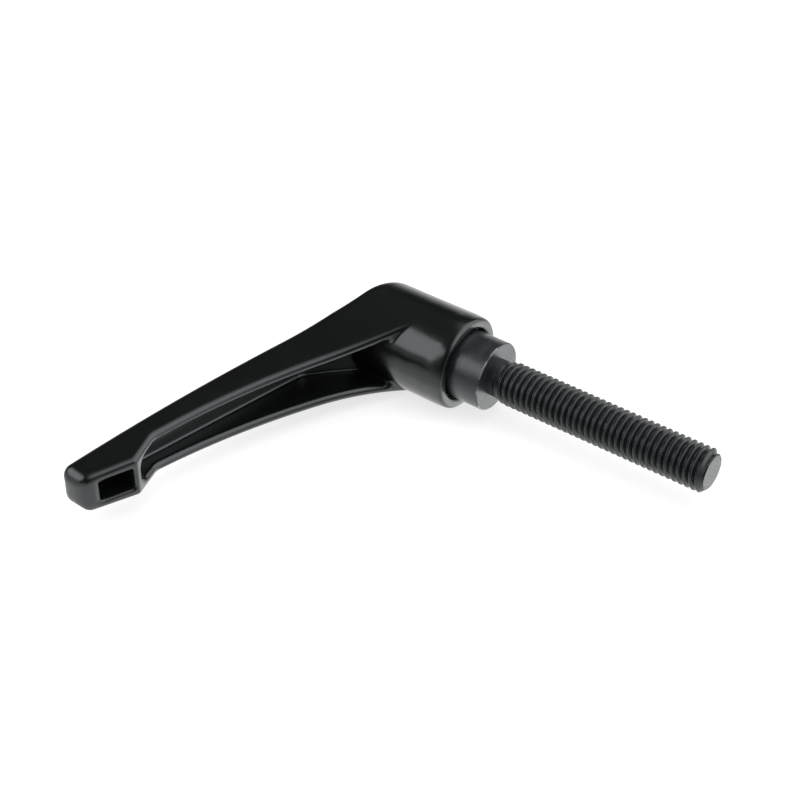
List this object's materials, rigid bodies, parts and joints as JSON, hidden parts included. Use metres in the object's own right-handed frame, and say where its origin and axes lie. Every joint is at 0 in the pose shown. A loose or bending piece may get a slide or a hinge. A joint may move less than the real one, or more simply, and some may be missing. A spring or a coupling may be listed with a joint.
{
  "type": "adjustable clamping lever",
  "caption": "Black adjustable clamping lever: a hollow-backed cast arm on a barrel that lifts and indexes on a serrated steel insert with a collar and a long threaded stud.",
  "frame": {"origin": "centre of the collar's ring-shaped clamping face, on the stud's axis", "axes": "+X along the stud towards its free end, +Z square to the lever's mid-plane, the arm pointing to -Y and leaning to -X"},
  "size_m": [0.1081, 0.0934, 0.022],
  "materials": {
    "black_coating": "smooth satin black powder coating on die-cast zinc",
    "blackened_steel": "semi-gloss black oxide with fine turning marks",
    "screw_steel": "black oxide",
    "spring_steel": "bright drawn wire"
  },
  "bodies": {
    "stud": {"threaded_stud": "blackened_steel", "retaining_screw": "screw_steel"},
    "spring": {"compression_spring": "spring_steel"},
    "handle": {"lever_handle": "black_coating"}
  },
  "joints": [
    {"name": "lift", "type": "slide", "parent": "stud", "child": "spring", "axis": [-1, 0, 0], "range_m": [0, 0.0044], "stiffness_N_per_m": 1000, "springref_m": -0.003, "deforming": ["compression_spring"]},
    {"name": "index", "type": "hinge", "parent": "spring", "child": "handle", "pos_m": [-0.016, 0, 0], "axis": [1, 0, 0], "continuous": true}
  ]
}
